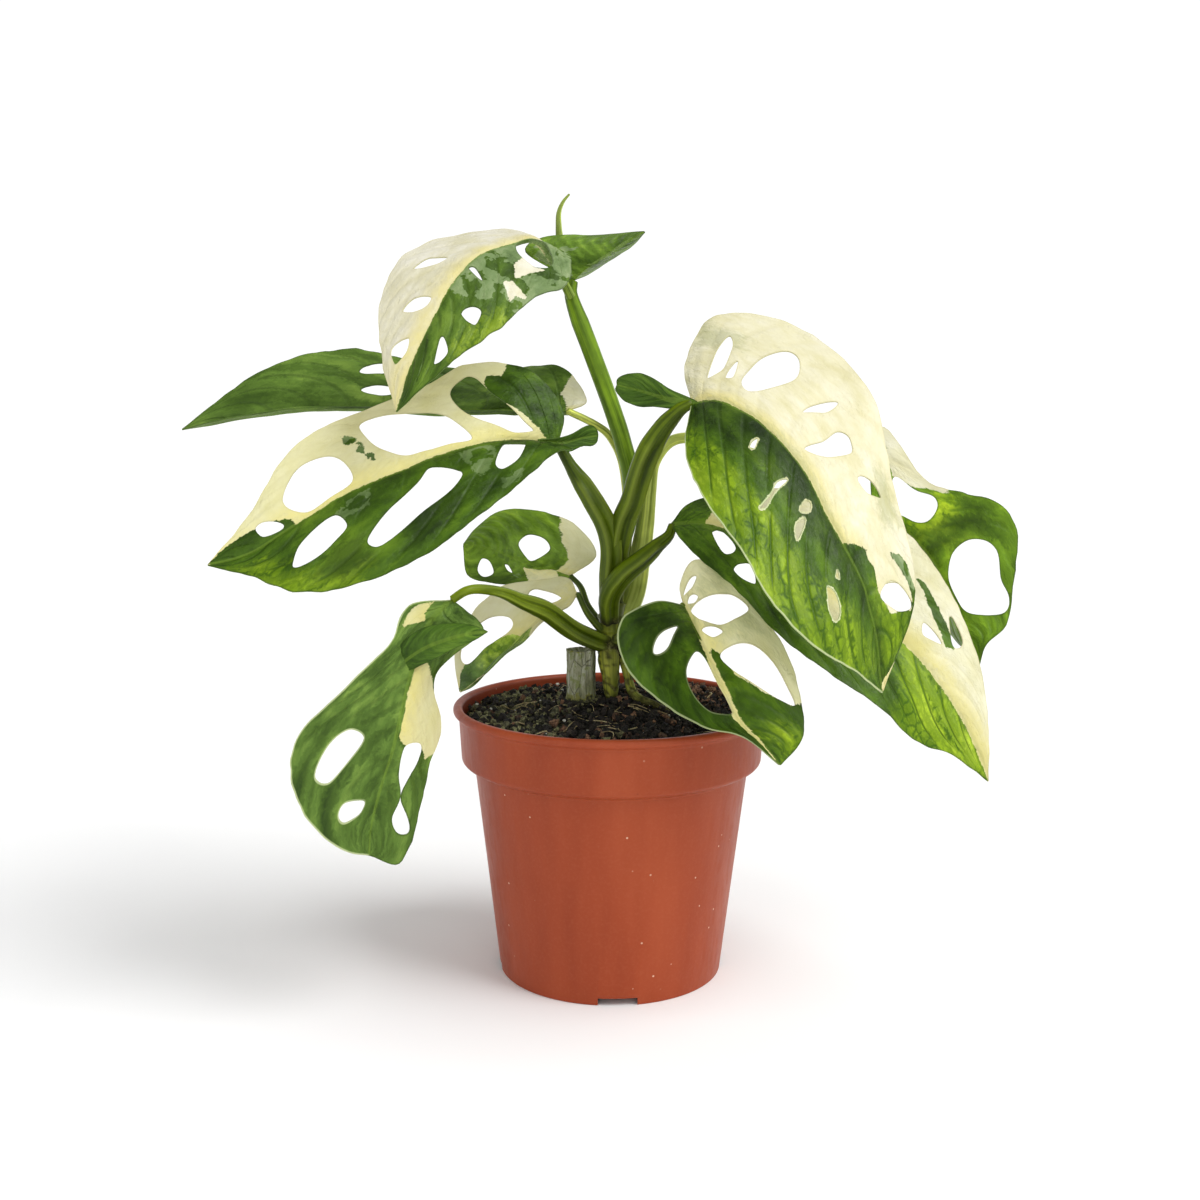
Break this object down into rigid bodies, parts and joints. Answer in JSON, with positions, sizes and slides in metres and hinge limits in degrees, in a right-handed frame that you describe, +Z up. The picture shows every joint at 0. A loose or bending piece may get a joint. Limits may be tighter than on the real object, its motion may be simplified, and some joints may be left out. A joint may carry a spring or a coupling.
{
  "type": "potted variegated monstera adansonii",
  "caption": "Variegated Swiss cheese plant with perforated cream and green leaves on curved stalks, rooted in soil in a round tapered plastic nursery pot with a collar and rolled rim.",
  "frame": {"origin": "centre of the pot's base, on the surface the pot stands on", "axes": "+Z up along the pot's axis, -Y towards the front of the plant, +X to the right seen from the front"},
  "size_m": [0.324, 0.1532, 0.2943],
  "materials": {
    "pot_plastic": "satin",
    "potting_soil": "matte",
    "green_stalk": "satin",
    "old_stem": "matte",
    "variegated_leaf": "satin",
    "pale_leaf": "satin"
  },
  "bodies": {
    "root": {"pot": "pot_plastic", "soil": "potting_soil", "stem": "green_stalk", "stalk_crown": "green_stalk", "petiole_big_right": "green_stalk", "petiole_left": "green_stalk", "petiole_long_right": "green_stalk", "petiole_far_right": "green_stalk", "petiole_hanging": "green_stalk", "petiole_far_left": "green_stalk", "petiole_front": "green_stalk", "petiole_curled": "green_stalk", "petiole_low_left": "green_stalk", "petiole_crown": "green_stalk", "spear": "green_stalk", "root_left": "old_stem", "root_right": "old_stem", "root_back": "old_stem", "cut_stub": "old_stem", "leaf_crown": "variegated_leaf", "leaf_young": "variegated_leaf", "leaf_far_left": "variegated_leaf", "leaf_left": "variegated_leaf", "leaf_hanging": "variegated_leaf", "leaf_big_right": "variegated_leaf", "leaf_long_right": "variegated_leaf", "leaf_far_right": "variegated_leaf", "leaf_front": "variegated_leaf", "leaf_curled": "variegated_leaf", "leaf_low_left": "pale_leaf"}
  },
  "joints": []
}
